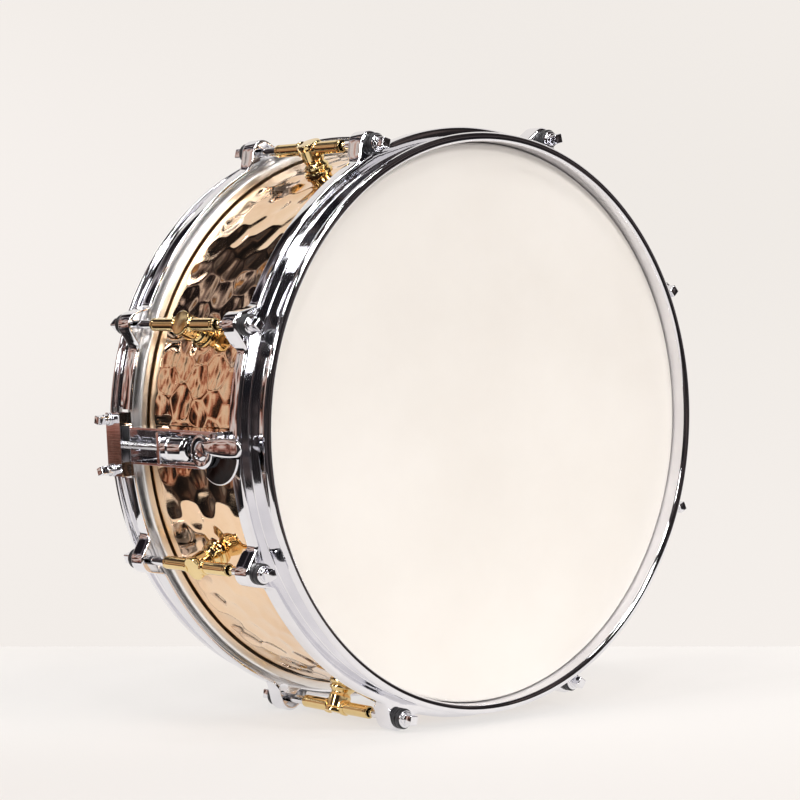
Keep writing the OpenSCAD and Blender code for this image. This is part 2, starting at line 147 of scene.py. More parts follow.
def rounded(points, steps=5):
    """Replaces each corner (x, y, radius) of a path by an arc. Corners with no radius stay."""
    out = []
    count = len(points)
    for k, point in enumerate(points):
        x, y = point[:2]
        radius = point[2] if len(point) > 2 else 0
        if not radius:
            out.append((x, y))
            continue
        here = Vector((x, y))
        to_last = (Vector(points[k - 1][:2]) - here).normalized()
        to_next = (Vector(points[(k + 1) % count][:2]) - here).normalized()
        half = to_last.angle(to_next) / 2
        reach = radius / math.tan(half)
        centre = here + (to_last + to_next).normalized() * radius / math.sin(half)
        start = here + to_last * reach - centre
        end = here + to_next * reach - centre
        turn = start.angle_signed(end)
        for s in range(steps + 1):
            arm = start.copy()
            arm.rotate(Matrix.Rotation(-turn * s / steps, 2))
            out.append(tuple(centre + arm))
    return out


def lathe(profile, segments=48, closed=False):
    """Turns a profile of (radius, height) points about Z. An open profile gets flat end caps."""
    angles = [2 * math.pi * s / segments for s in range(segments)]
    verts = [(r * math.cos(a), r * math.sin(a), z) for r, z in profile for a in angles]
    faces = grid_faces(len(profile), segments, closed, True).tolist()
    if not closed:
        last = (len(profile) - 1) * segments
        faces.append(list(range(segments))[::-1])
        faces.append([last + s for s in range(segments)])
    return verts, faces


def prism(outline, z0, z1, edge=0.5, steps=3):
    """Extrudes a convex outline from z0 to z1 with its two rims rounded by edge."""
    count = len(outline)
    points = [Vector(p[:2]) for p in outline]
    area = sum(points[k - 1].x * points[k].y - points[k].x * points[k - 1].y for k in range(count))
    if area < 0:
        points.reverse()
    normals = []
    for k in range(count):
        along = points[(k + 1) % count] - points[k - 1]
        normals.append(Vector((along.y, -along.x)).normalized())
    low = [(z0 + edge * (1 - math.cos(math.pi / 2 * s / steps)),
            edge * (1 - math.sin(math.pi / 2 * s / steps))) for s in range(steps + 1)]
    high = [(z1 - (z - z0), inset) for z, inset in low[::-1]]
    verts = []
    for z, inset in low + high:
        verts += [(p.x - n.x * inset, p.y - n.y * inset, z) for p, n in zip(points, normals)]
    rows = len(low) + len(high)
    faces = grid_faces(rows, count, False, True).tolist()
    faces.append(list(range(count))[::-1])
    faces.append([(rows - 1) * count + k for k in range(count)])
    return verts, faces


def rectangle(width, height, radius, x=0, y=0):
    return rounded([(x - width / 2, y - height / 2, radius), (x + width / 2, y - height / 2, radius),
                    (x + width / 2, y + height / 2, radius), (x - width / 2, y + height / 2, radius)])


def about_z(degrees):
    return Matrix.Rotation(math.radians(degrees), 4, "Z")


def at_lug(i, x=0, y=0, z=0):
    return about_z(lug_angle(i)) @ Matrix.Translation((x, y, z))


def outward(x, y, z, azimuth=0):
    """Stands a shape's Z axis along the drum's radius at the azimuth, with its base at radius x."""
    tip = Matrix.Rotation(math.radians(90), 4, "Y")
    return about_z(azimuth) @ Matrix.Translation((x, y, z)) @ tip


FLIP = Matrix.Translation((0, 0, TOTAL_H)) @ Matrix.Scale(-1, 4, (0, 0, 1))
THROW_OFF = 180


def turned_over(shapes):
    """The mirror image of snare-side shapes on the batter side, with their faces facing out again."""
    shapes.verts = [tuple(FLIP @ Vector(v)) for v in shapes.verts]
    shapes.faces = [face[::-1] for face in shapes.faces]
    return shapes


def cut(piece, cutter):
    """Subtracts closed cutter shapes from a closed piece and applies the result."""
    tool = mesh_object("cutter", cutter.verts, cutter.faces, piece.data.materials[0])
    modifier = piece.modifiers.new("cut", "BOOLEAN")
    modifier.operation = "DIFFERENCE"
    modifier.solver = "MANIFOLD"
    modifier.object = tool
    depsgraph = bpy.context.evaluated_depsgraph_get()
    result = bpy.data.meshes.new_from_object(piece.evaluated_get(depsgraph))
    piece.modifiers.clear()
    piece.data = result
    bpy.data.objects.remove(tool)
    result.shade_smooth()
    result.set_sharp_from_angle(angle=math.radians(32))
    return piece


def box_shape(low, high):
    (x0, y0, z0), (x1, y1, z1) = low, high
    verts = [(x, y, z) for x in (x0, x1) for y in (y0, y1) for z in (z0, z1)]
    return verts, [[0, 1, 3, 2], [4, 6, 7, 5], [0, 4, 5, 1], [2, 3, 7, 6], [0, 2, 6, 4], [1, 5, 7, 3]]


def bevelled_node(node, material, body, bevel):
    """A CAD node's own shape with flat faces made whole and its sharp edges rounded."""
    build = bmesh.new()
    build.from_mesh(frame["nodes"][node].data)
    bmesh.ops.remove_doubles(build, verts=build.verts, dist=1e-6)
    bmesh.ops.dissolve_limit(build, angle_limit=math.radians(1), verts=build.verts, edges=build.edges)
    sharp = [e for e in build.edges if len(e.link_faces) == 2 and e.calc_face_angle(0) > math.radians(40)]
    bmesh.ops.bevel(build, geom=sharp, offset=bevel * MM, segments=2, profile=0.5, affect="EDGES",
                    clamp_overlap=True)
    mesh = bpy.data.meshes.new(node + "_detail")
    build.to_mesh(mesh)
    build.free()
    mesh.materials.clear()
    mesh.materials.append(material)
    mesh.shade_smooth()
    mesh.set_sharp_from_angle(angle=math.radians(50))
    piece = bpy.data.objects.new(node + "_detail", mesh)
    bpy.context.scene.collection.objects.link(piece)
    weighted = piece.modifiers.new("normals", "WEIGHTED_NORMAL")
    weighted.keep_sharp = True
    if body:
        return place_piece(piece, body, [node])
    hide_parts(node)
    return piece


# ---- Materials ----


class Nodes:
    """A short way to write a material's node tree."""

    def __init__(self, name):
        self.material = bpy.data.materials.new(name)
        self.material.use_nodes = True
        self.tree = self.material.node_tree
        self.shader = self.tree.nodes["Principled BSDF"]
        self.place = self.add("ShaderNodeTexCoord").outputs["Object"]

    def add(self, kind, **settings):
        node = self.tree.nodes.new(kind)
        for key, value in settings.items():
            setattr(node, key, value)
        return node

    def link(self, source, target):
        self.tree.links.new(source, target)

    def set(self, **values):
        for key, value in values.items():
            self.shader.inputs[key.replace("_", " ")].default_value = value
        return self

    def stretched(self, scale):
        mapping = self.add("ShaderNodeMapping")
        mapping.inputs["Scale"].default_value = scale
        self.link(self.place, mapping.inputs["Vector"])
        return mapping.outputs["Vector"]

    def noise(self, scale, detail=3, roughness=0.5, vector=None):
        noise = self.add("ShaderNodeTexNoise")
        noise.inputs["Scale"].default_value = scale
        noise.inputs["Detail"].default_value = detail
        noise.inputs["Roughness"].default_value = roughness
        self.link(vector or self.place, noise.inputs["Vector"])
        return noise.outputs["Fac"]

    def between(self, source, from_low, from_high, to_low, to_high):
        ranges = self.add("ShaderNodeMapRange")
        ends = (from_low, from_high, to_low, to_high)
        for key, value in zip(("From Min", "From Max", "To Min", "To Max"), ends):
            ranges.inputs[key].default_value = value
        self.link(source, ranges.inputs["Value"])
        return ranges.outputs["Result"]

    def colours(self, source, stops):
        ramp = self.add("ShaderNodeValToRGB")
        while len(ramp.color_ramp.elements) < len(stops):
            ramp.color_ramp.elements.new(0.5)
        for element, (position, colour) in zip(ramp.color_ramp.elements, stops):
            element.position = position
            element.color = (*colour, 1)
        self.link(source, ramp.inputs["Fac"])
        return ramp.outputs["Color"]

    def bump(self, height, strength, distance, after=None):
        bump = self.add("ShaderNodeBump")
        bump.inputs["Strength"].default_value = strength
        bump.inputs["Distance"].default_value = distance
        self.link(height, bump.inputs["Height"])
        if after is not None:
            self.link(after, bump.inputs["Normal"])
        return bump.outputs["Normal"]

    def to(self, socket, source):
        self.link(source, self.shader.inputs[socket])
        return self


def plated_metal(name, dark, light, rough_low, rough_high, wave=0.02, brush=None):
    """Polished plating: faint colour drift, smudged roughness, polishing hairlines and slow waves."""
    n = Nodes(name)
    n.set(Metallic=1.0)
    drift = n.noise(35, 3)
    n.to("Base Color", n.colours(drift, [(0.3, dark), (0.7, light)]))
    smudge = n.noise(90, 5, 0.65)
    n.to("Roughness", n.between(smudge, 0.35, 0.75, rough_low, rough_high))
    slow = n.bump(n.noise(28, 1), wave, 0.004)
    hair = n.noise(900, 2, 0.5, n.stretched(brush or (1, 1, 0.06)))
    n.to("Normal", n.bump(hair, 0.03, 0.0002, slow))
    return n.material


def hammered_bronze():
    """Mirror bronze. Tone drifts at random between strikes, from a darker to a paler bronze."""
    n = Nodes("hammered_bronze")
    n.set(Metallic=1.0)
    tone = n.noise(22, 4, 0.6)
    n.to("Base Color", n.colours(tone, [(0.25, (0.86, 0.58, 0.36)), (0.5, (0.93, 0.68, 0.46)),
                                        (0.75, (0.95, 0.73, 0.52))]))
    n.to("Roughness", n.between(n.noise(120, 5, 0.65), 0.3, 0.8, 0.035, 0.11))
    slow = n.bump(n.noise(60, 2), 0.05, 0.002)
    n.to("Normal", n.bump(n.noise(1400, 2, 0.5, n.stretched((1, 1, 0.2))), 0.035, 0.0002, slow))
    return n.material


def coated_film():
    """Sprayed coating on polyester: fine grit, slight clouding, and a few rubbed patches."""
    n = Nodes("coated_film")
    cloud = n.noise(9, 4, 0.55)
    n.to("Base Color", n.colours(cloud, [(0.3, (0.845, 0.80, 0.745)), (0.7, (0.90, 0.86, 0.81))]))
    n.to("Roughness", n.between(n.noise(40, 4, 0.6), 0.3, 0.7, 0.42, 0.62))
    n.set(Subsurface_Weight=0.12, Subsurface_Radius=(0.004, 0.0035, 0.003), Subsurface_Scale=1.0)
    grit = n.noise(2600, 3, 0.6)
    n.to("Normal", n.bump(grit, 0.22, 0.0004, n.bump(n.noise(14, 2), 0.05, 0.004)))
    return n.material


def clear_film():
    """Hazy clear polyester."""
    n = Nodes("clear_film")
    haze = n.noise(18, 4, 0.6)
    n.to("Base Color", n.colours(haze, [(0.3, (0.74, 0.76, 0.75)), (0.7, (0.83, 0.84, 0.83))]))
    n.to("Roughness", n.between(n.noise(70, 3), 0.3, 0.7, 0.12, 0.24))
    n.to("Alpha", n.between(haze, 0.3, 0.7, 0.38, 0.5))
    n.set(IOR=1.6)
    n.to("Normal", n.bump(n.noise(600, 2), 0.03, 0.0003))
    return n.material


def black_nylon():
    """Dark nylon with a fine grain."""
    n = Nodes("black_nylon")
    n.to("Base Color", n.colours(n.noise(300, 3), [(0.3, (0.012, 0.012, 0.014)), (0.7, (0.035, 0.035, 0.04))]))
    n.to("Roughness", n.between(n.noise(150, 4), 0.3, 0.7, 0.28, 0.5))
    n.to("Normal", n.bump(n.noise(1800, 2), 0.15, 0.0002))
    return n.material


def strap_ribbon():
    """Woven polyester ribbon: a fine plain weave along and across the strap."""
    n = Nodes("strap_ribbon")
    n.to("Base Color", n.colours(n.noise(500, 3), [(0.3, (0.014, 0.014, 0.016)), (0.7, (0.045, 0.045, 0.05))]))
    weave = n.add("ShaderNodeTexWave", wave_type="BANDS", bands_direction="Y")
    weave.inputs["Scale"].default_value = 420
    weave.inputs["Distortion"].default_value = 0.6
    n.link(n.place, weave.inputs["Vector"])
    n.to("Roughness", n.between(n.noise(260, 3), 0.3, 0.7, 0.5, 0.72))
    n.to("Normal", n.bump(weave.outputs["Fac"], 0.4, 0.0003))
    return n.material


CHROME = plated_metal("hoop_chrome", (0.80, 0.80, 0.84), (0.88, 0.88, 0.91), 0.03, 0.075)
ROD_CHROME = plated_metal("rod_chrome", (0.78, 0.78, 0.82), (0.87, 0.87, 0.90), 0.05, 0.11, 0.03)
STRAINER_CHROME = plated_metal("strainer_chrome", (0.79, 0.79, 0.83), (0.88, 0.88, 0.91), 0.03, 0.08, 0.04)
GOLD = plated_metal("gold_brass", (0.78, 0.58, 0.27), (0.88, 0.69, 0.36), 0.05, 0.11, 0.03)
ALUMINIUM = plated_metal("bright_aluminium", (0.90, 0.89, 0.87), (0.96, 0.95, 0.93), 0.30, 0.42, 0.02,
                         (0.05, 0.05, 1))
STEEL = plated_metal("plated_steel", (0.50, 0.50, 0.53), (0.66, 0.66, 0.68), 0.18, 0.34, 0.05)
SNARE_STEEL = plated_metal("snare_steel", (0.60, 0.60, 0.63), (0.75, 0.75, 0.77), 0.14, 0.26, 0.02)
PLATE_BRASS = plated_metal("end_plate_brass", (0.60, 0.38, 0.14), (0.74, 0.50, 0.22), 0.2, 0.36, 0.04)
BRONZE = hammered_bronze()
COATED = coated_film()
CLEAR = clear_film()
NYLON = black_nylon()
RIBBON = strap_ribbon()
# Near-black metal for the thumb paddle: painted reflection, standing in for the dark room mirrored in the paddle's
# chrome.
PAINTED_DARK_REFLECTION = plated_metal("paddle_painted_dark_reflection", (0.012, 0.012, 0.014), (0.03, 0.03, 0.034), 0.06, 0.14, 0.03)

# ---- Hammered shell ----

# Spacing and depth of the strikes, plain bands at the batter and the snare edges, sharpness of the ridges
DIMPLE_PITCH = 18.5
DIMPLE_DEPTH = 1.0
PLAIN_BAND = 9
SNARE_SIDE_BAND = 31
SHARPNESS = 7.0
SEAT_BLEND = 4
SHELL_COLUMNS = 1120
SHELL_ROWS = 118
SHELL_T = 1.2


def strike_centres(girth, z0, z1):
    """Jittered staggered rows of hammer strikes: (along, height, half sizes, turn, depth)."""
    rows = round((z1 - z0) / (DIMPLE_PITCH * 0.84))
    row_h = (z1 - z0) / rows
    per_row = round(girth / DIMPLE_PITCH)
    step = girth / per_row
    strikes = []
    for row in range(rows):
        for k in range(per_row):
            along = (k + 0.5 * (row % 2) + rng.uniform(-0.22, 0.22)) * step
            height = z0 + (row + 0.5 + rng.uniform(-0.18, 0.18)) * row_h
            size = DIMPLE_PITCH * rng.uniform(0.54, 0.66)
            shape = rng.uniform(0.9, 1.14)
            strikes.append((along, height, size * shape, size / shape, rng.uniform(0, math.pi),
                            DIMPLE_DEPTH * rng.uniform(0.65, 1.15)))
    return strikes


def dent_field(along, height, girth, strikes):
    """Depth of the hammered surface below the plain one, as a soft union of dished strikes."""
    total = np.ones_like(along)
    for centre_u, centre_z, half_a, half_b, turn, depth in strikes:
        reach = 1.35 * max(half_a, half_b)
        du = (along - centre_u + girth / 2) % girth - girth / 2
        dz = height - centre_z
        near = (abs(du) < reach) & (abs(dz) < reach)
        u, z = du[near], dz[near]
        a = (u * math.cos(turn) + z * math.sin(turn)) / half_a
        b = (-u * math.sin(turn) + z * math.cos(turn)) / half_b
        total[near] += np.exp(SHARPNESS * depth * (1 - a * a - b * b)) * (a * a + b * b < 1.7)
    return np.log(total) / SHARPNESS


def fastener_spots():
    """(azimuth, height, radius) of the seats that stay flat: lugs, throw-off, butt and vent."""
    spots = [(lug_angle(i), MID_Z, 9) for i in range(1, LUG_COUNT + 1)]
    for height in (50, 100):
        spots.append((THROW_OFF, height, 6))
    spots += [(0, 44, 8), (0, 56, 8), (45, MID_Z, 9)]
    return spots


def shell():
    girth = 2 * math.pi * SHELL_R
    z0, z1 = SHELL_LOW.z, SHELL_HIGH.z
    strikes = strike_centres(girth, z0 + SNARE_SIDE_BAND + 1, z1 - PLAIN_BAND - 1)
    fold = 3.2
    edge = rounded([(SHELL_R - fold - 1, z1 - fold), (SHELL_R - 1.6, z1, 0.8), (SHELL_R, z1 - 1.4, 0.8),
                    (SHELL_R, z1 - 4)], 4)
    heights = np.linspace(z1 - 2.9, z0 + 2.9, SHELL_ROWS)
    outer = [(SHELL_R, z) for z in heights]
    low_edge = [(r, z0 + z1 - z) for r, z in edge[:-1]][::-1]
    inner_heights = np.linspace(z0 + 4.2, z1 - 4.2, SHELL_ROWS // 2)
    inner = [(SHELL_R - SHELL_T, z) for z in inner_heights]
    low_hook = [(SHELL_R - fold - 0.2, z0 + fold + 0.9)]
    high_hook = [(SHELL_R - fold - 0.2, z1 - fold - 0.9)]
    profile = np.array(edge[:-1] + outer + low_edge + low_hook + inner + high_hook)
    angles = np.linspace(0, 2 * math.pi, SHELL_COLUMNS, endpoint=False)
    radius = np.repeat(profile[:, 0][:, None], SHELL_COLUMNS, 1)
    height = np.repeat(profile[:, 1][:, None], SHELL_COLUMNS, 1)
    along = np.repeat((angles * SHELL_R)[None, :], len(profile), 0)
    dent = dent_field(along, height, girth, strikes)
    for azimuth, spot_z, spot_r in fastener_spots():
        du = (along - math.radians(azimuth) * SHELL_R + girth / 2) % girth - girth / 2
        far = np.hypot(du, height - spot_z)
        dent *= np.clip((far - spot_r) / SEAT_BLEND, 0, 1) ** 0.5
    wall = (height > z0 + 4) & (height < z1 - 4) & (radius > SHELL_R - SHELL_T - 0.1)
    radius = radius - np.where(wall, dent, 0)
    verts = np.stack([radius * np.cos(angles), radius * np.sin(angles), height], -1).reshape(-1, 3)
    faces = grid_faces(len(profile), SHELL_COLUMNS, True, True)
    piece = mesh_object("hammered_shell", verts, faces[:, ::-1], BRONZE, 60)
    vent_r = (box_mm("vent_grommet")[1].z - box_mm("vent_grommet")[0].z) / 2 - 2.7
    hole = Shapes().add(lathe([(vent_r, -12), (vent_r, 12)], 40), outward(SHELL_R, 0, MID_Z, 45))
    cut(piece, hole)
    piece.data.set_sharp_from_angle(angle=math.radians(60))
    place_piece(piece, "root", ["shell"])


# ---- Hoops ----

WALL_IN = SHELL_R + 0.7
HOOP_T = 2.3
STEP = 20
SKIRT = SHELL_R + 11.1
SKIRT_END = 29.5
EAR_END = HOOP_H
FLARE = 3.5
GATE_HALF = 21.5
LIP_H = 6
EAR_R = 8.3
EAR_HALF_BASE = 13.4


def ear_reach(offset):
    """Radius of the skirt at an angle (radians) from a rod: the ear's round end, its flanks, the ring."""
    base = Vector((EAR_HALF_BASE + 0.6, SKIRT - 0.6))
    rod = Vector((0, ROD_CIRCLE_R))
    away = (base - rod).length
    tilt = math.atan2(base.y - rod.y, base.x - rod.x) + math.acos(EAR_R / away)
    touch = rod + EAR_R * Vector((math.cos(tilt), math.sin(tilt)))
    offset = abs(offset)
    if offset < math.atan2(touch.x, touch.y):
        s, c = math.sin(offset), math.cos(offset)
        return ROD_CIRCLE_R * c + math.sqrt(EAR_R ** 2 - (ROD_CIRCLE_R * s) ** 2)
    if offset > math.atan2(base.x, base.y) + 0.02:
        return SKIRT
    run = touch - base
    s, c = math.sin(offset), math.cos(offset)
    flank = (base.x * run.y - base.y * run.x) / (s * run.y - c * run.x)
    blend = 0.9
    return SKIRT + blend * math.log(1 + math.exp((flank - SKIRT) / blend))


def hoop_angles():
    """Angles round a hoop, close together at the ears."""
    angles = []
    ear_span, ear_count, plain_count = 6.5, 56, 30
    for i in range(1, LUG_COUNT + 1):
        mid = lug_angle(i)
        angles += list(np.linspace(mid - ear_span, mid + ear_span, ear_count, endpoint=False))
        angles += list(np.linspace(mid + ear_span, mid + LUG_STEP - ear_span, plain_count, endpoint=False))
    return np.radians(angles)


def hoop_shapes():
    """The snare-side hoop: a rolled lip, a wall, a step and a skirt that bulges out into the ears."""
    wall_out = WALL_IN + HOOP_T
    upper = rounded([(WALL_IN, STEP + HOOP_T, 0.4), (WALL_IN, 0.6, 1.9), (WALL_IN + 3, 0, 1.6),
                     (SHELL_R + 6.7, 0, 2.0), (SHELL_R + 6.7, 3.7, 1.3), (wall_out, 4.3, 1.3),
                     (wall_out, STEP, 0.7), (wall_out + 1.4, STEP)], 6)
    columns = []
    angles = hoop_angles()
    step = math.radians(LUG_STEP)
    for a in angles:
        offset = (a - math.radians(lug_angle(1)) + step / 2) % step - step / 2
        reach = ear_reach(offset)
        out = min(1, (reach - SKIRT) / FLARE)
        end = SKIRT_END + (EAR_END - SKIRT_END) * out * out * (3 - 2 * out)
        lower = rounded([(wall_out + 1.4, STEP), (reach, STEP, 2.0), (reach, end, 0.8),
                         (reach - HOOP_T, end, 0.8), (reach - HOOP_T, STEP + HOOP_T, 0.5),
                         (wall_out, STEP + HOOP_T)], 5)
        column = upper[:-1] + lower
        columns.append([(r * math.cos(a), r * math.sin(a), z) for r, z in column])
    verts = np.array(columns)
    count, rows = verts.shape[:2]
    shapes = Shapes()
    shapes.verts = [tuple(v) for v in verts.reshape(-1, 3)]
    shapes.faces = grid_faces(count, rows, True, True).tolist()
    return shapes


def ear_holes():
    """Cutters for the rods' holes through the ears."""
    holes = Shapes()
    hole = lathe([(3.5, STEP - 2), (3.5, STEP + HOOP_T + 2)], 32)
    for i in range(1, LUG_COUNT + 1):
        holes.add(hole, at_lug(i, ROD_CIRCLE_R))
    return holes


def hoops():
    lower = hoop_shapes()
    snare = mesh_object("snare_side_hoop", lower.verts, lower.faces, CHROME)
    openings = ear_holes()
    for side in (0, THROW_OFF):
        openings.add(box_shape((SHELL_R - 5, -GATE_HALF, LIP_H), (SHELL_R + 20, GATE_HALF, EAR_END + 5)),
                     about_z(side))
    cut(snare, openings)
    place_piece(snare, "root", ["snare_hoop"])
    upper = turned_over(hoop_shapes())
    batter = mesh_object("batter_side_hoop", upper.verts, upper.faces, CHROME)
    cut(batter, turned_over(ear_holes()))
    place_piece(batter, "root", ["batter_hoop"])


# ---- Heads ----


def head_shapes():
    """Film of the snare side: a flat disc that rounds over the bearing edge into a collar."""
    film_t = 0.25
    flat_z = SHELL_LOW.z - film_t
    collar_r = SHELL_R + 0.1
    tuck_z = STEP + HOOP_T + 2.6
    outside = [(r, flat_z) for r in np.linspace(2, SHELL_R - 8, 24)]
    outside += rounded([(SHELL_R - 7, flat_z), (collar_r + film_t, flat_z, 1.6), (collar_r + film_t, tuck_z)], 8)[1:]
    tuck = [(collar_r + film_t, tuck_z), (SHELL_R + 2.6, tuck_z), (SHELL_R + 2.6, tuck_z + film_t),
            (collar_r, tuck_z + film_t)]
    inside = rounded([(collar_r, tuck_z + film_t), (collar_r, SHELL_LOW.z, 1.35), (SHELL_R - 7, SHELL_LOW.z)], 8)[1:]
    inside += [(2, SHELL_LOW.z)]
    profile = outside[:-1] + tuck + inside
    return Shapes().add(lathe(profile, 256))


def flesh_hoop_shapes():
    """Aluminium channel that holds the film, with rolled edges."""
    z0 = STEP + HOOP_T
    r0, r1 = SHELL_R + 1.1, SHELL_R + 6.4
    end = box_mm("snare_flesh_hoop")[1].z
    tuck_z = z0 + 2.6
    profile = rounded([(r0, z0, 0.5), (r1, z0, 0.9), (r1, z0 + 3.2, 0.3), (r1 - 0.35, z0 + 3.6, 0.2),
                       (r1, z0 + 4, 0.3), (r1, end, 1.4), (r0, end, 0.5),
                       (r0, tuck_z + 0.25), (r0 + 1.7, tuck_z + 0.25), (r0 + 1.7, tuck_z), (r0, tuck_z)], 4)
    return Shapes().add(lathe(profile, 256, closed=True))


def heads():
    shapes_piece("batter_film", turned_over(head_shapes()), COATED, "root", ["batter_head"])
    shapes_piece("snare_film", head_shapes(), CLEAR, "root", ["snare_head"])
    shapes_piece("batter_flesh_ring", turned_over(flesh_hoop_shapes()), ALUMINIUM, "root",
                 ["batter_flesh_hoop"])
    shapes_piece("snare_flesh_ring", flesh_hoop_shapes(), ALUMINIUM, "root",
                 ["snare_flesh_hoop"])


# ---- Lugs, rods and washers ----


def lug_post():
    """Turned post, from the shell out: beaded base flange, neck, barrel and a flat disc end."""
    return lathe(rounded([(9.4, 0.0), (9.5, 1.1, 0.3), (8.5, 2.0, 0.5), (7.2, 2.5, 0.4), (8.3, 3.3, 0.5),
                          (8.3, 4.9, 0.5), (7.2, 5.8, 0.4), (6.2, 6.9, 0.6), (6.4, 8.0, 0.6), (7.2, 9.4, 0.6),
                          (7.2, 16.6, 0.4), (7.85, 17.8, 0.5), (7.85, 19.9, 0.45), (7.3, 20.4, 0.3),
                          (1, 20.4)], 4), 72)


def lug_tube():
    """Tube with rounded mouths and a band on each side of the post. Its bore clears the rods."""
    radius, bore, band = 4.1, 2.8, 5.0
    low, high = TUBE_LOW, TUBE_HIGH
    near, far = 6.6, 9.2
    profile = [(bore, low + 0.5), (bore + 0.35, low), (radius - 0.5, low), (radius - 0.12, low + 0.15),
               (radius, low + 0.6), (radius, low + 2.2), (radius - 0.25, low + 2.5), (radius, low + 2.8)]
    lower = [(radius, MID_Z - far - 0.2), (band - 0.4, MID_Z - far), (band, MID_Z - far + 0.4),
             (band, MID_Z - near - 0.3), (band - 0.4, MID_Z - near), (radius, MID_Z - near + 0.2)]
    upper = [(r, 2 * MID_Z - z) for r, z in lower[::-1]]
    top = [(r, low + high - z) for r, z in profile[::-1]]
    return lathe(profile + lower + upper + top, 48, closed=True)


def lugs():
    post = lug_post()
    tube = lug_tube()
    for i in range(1, LUG_COUNT + 1):
        shapes = Shapes()
        shapes.add(post, about_z(lug_angle(i)) @ outward(SHELL_R, 0, MID_Z))
        shapes.add(tube, at_lug(i, ROD_CIRCLE_R))
        shapes_piece(f"tube_lug_{i}", shapes, GOLD, "root", [f"lug_{i}"], 28)


ROD_R = 2.75
PEG_TOP = ROD_LOW.z
COLLAR_BASE = STEP - 5 - 0.05
COLLAR_T = 1.6


def rod_shapes(i):
    """A tension rod on the snare side: square key head, collar, shank, and a threaded end in the tube."""
    end = ROD_HIGH.z
    thread_z = TUBE_LOW + 4
    shank = rounded([(ROD_R, thread_z), (ROD_R, COLLAR_BASE), (5.5, COLLAR_BASE, 0.3),
                     (5.5, COLLAR_BASE - COLLAR_T, 0.5), (4.2, COLLAR_BASE - COLLAR_T - 0.1, 0.2),
                     (4.0, COLLAR_BASE - COLLAR_T - 1.6, 0.5), (1, COLLAR_BASE - COLLAR_T - 1.6)], 4)
    turns = [(ROD_R - 0.35 * (k % 2), thread_z + 0.5 * k) for k in range(int((end - thread_z - 1) / 0.5))]
    tip = [(ROD_R - 1, end)]
    shapes = Shapes()
    shapes.add(lathe((tip + turns[::-1] + shank[1:])[::-1], 40), at_lug(i, ROD_CIRCLE_R))
    peg = prism(rectangle(6.2, 6.2, 0.8), PEG_TOP, COLLAR_BASE - COLLAR_T - 1, 0.7, 4)
    shapes.add(peg, at_lug(i, ROD_CIRCLE_R) @ about_z(17 * i))
    return shapes


def washer_shapes():
    """A nylon washer and a metal-backed one under each rod's head, as one dark stack."""
    top = STEP - 5
    bore, rim = 2.85, 6.5
    profile = rounded([(bore, top), (rim, top, 0.5), (rim, top + 2.1, 0.4), (rim - 0.7, top + 2.3, 0.15),
                       (rim - 0.7, top + 2.7, 0.15), (rim, top + 2.9, 0.4), (rim, STEP, 0.4), (bore, STEP)], 4)
    shapes = Shapes()
    washer = lathe(profile, 48, closed=True)
    for i in range(1, LUG_COUNT + 1):
        shapes.add(washer, at_lug(i, ROD_CIRCLE_R))
    return shapes


def rods():
    for i in range(1, LUG_COUNT + 1):
        shapes_piece(f"snare_key_rod_{i}", rod_shapes(i), ROD_CHROME, f"snare_rod_{i}",
                     [f"snare_rod_{i}"], 35)
        shapes_piece(f"batter_key_rod_{i}", turned_over(rod_shapes(i)), ROD_CHROME, f"batter_rod_{i}",
                     [f"batter_rod_{i}"], 35)
    shapes_piece("snare_washer_stacks", washer_shapes(), NYLON, "root", ["snare_rod_washers"])
    shapes_piece("batter_washer_stacks", turned_over(washer_shapes()), NYLON, "root",
                 ["batter_rod_washers"])


def grommet():
    """Turned eyelet that lines the air vent."""
    low, high = box_mm("vent_grommet")
    flange = (high.z - low.z) / 2
    bore = flange - 4
    profile = rounded([(bore, -3.2, 0.5), (flange - 1, -3.2, 0.5), (flange - 1, -1.6), (bore + 1.2, -1.6),
                       (bore + 1.2, 0.1), (flange, 0.1, 0.2), (flange - 0.4, 1.1, 0.5), (bore + 1.5, 1.8, 0.8),
                       (bore, 1.0, 0.5)], 5)
    shapes = Shapes().add(lathe(profile, 64, closed=True), outward(SHELL_R, 0, MID_Z, 45))
    shapes_piece("vent_eyelet", shapes, STRAINER_CHROME, "root", ["vent_grommet"])


# ---- Throw-off ----

SCREW_AXIS_R = SHELL_R + 15
PIVOT_Z = (box_mm("cam_spindle")[0].z + box_mm("cam_spindle")[1].z) / 2
KNOB_LOW, KNOB_HIGH = box_mm("tension_knob")
LEVER_R0 = SHELL_R + 17.4
LEVER_R1 = LEVER_R0 + 2.8
LEVER_R2 = LEVER_R1 + 3.4
ARM_Y = 3
SCREW_SPREAD = 16


def knob():
    """Barrel knob with a knurled grip near its foot and a plain waist."""
    radius = (KNOB_HIGH.x - KNOB_LOW.x) / 2
    z0, z1 = KNOB_LOW.z, KNOB_HIGH.z
    profile = rounded([(2.45, z0), (radius - 1.6, z0, 0.3), (radius - 1.5, z0 + 1.6, 0.2), (radius, z0 + 2.2, 0.4),
                       (radius, z0 + 8.0, 0.3), (radius - 0.8, z0 + 8.5, 0.2), (radius - 0.8, z0 + 9.3, 0.2),
                       (radius - 0.2, z0 + 9.8, 0.3), (radius - 0.2, z1 - 2.4, 1.6), (radius - 2.2, z1, 0.8),
                       (1, z1)], 5)
    verts, faces = lathe(profile, 144)
    grip = []
    for x, y, z in verts:
        flute = 0.0
        if z0 + 2.6 < z < z0 + 7.6 and math.hypot(x, y) > radius - 0.3:
            flute = 0.22 * (1 + math.cos(36 * math.atan2(y, x))) / 2
        scale = 1 - flute / max(math.hypot(x, y), 1)
        grip.append((x * scale, y * scale, z))
    shapes = Shapes().add((grip, faces), Matrix.Translation((-SCREW_AXIS_R, 0, 0)))
    shapes_piece("barrel_knob", shapes, STRAINER_CHROME, "knob", ["tension_knob"], 40)


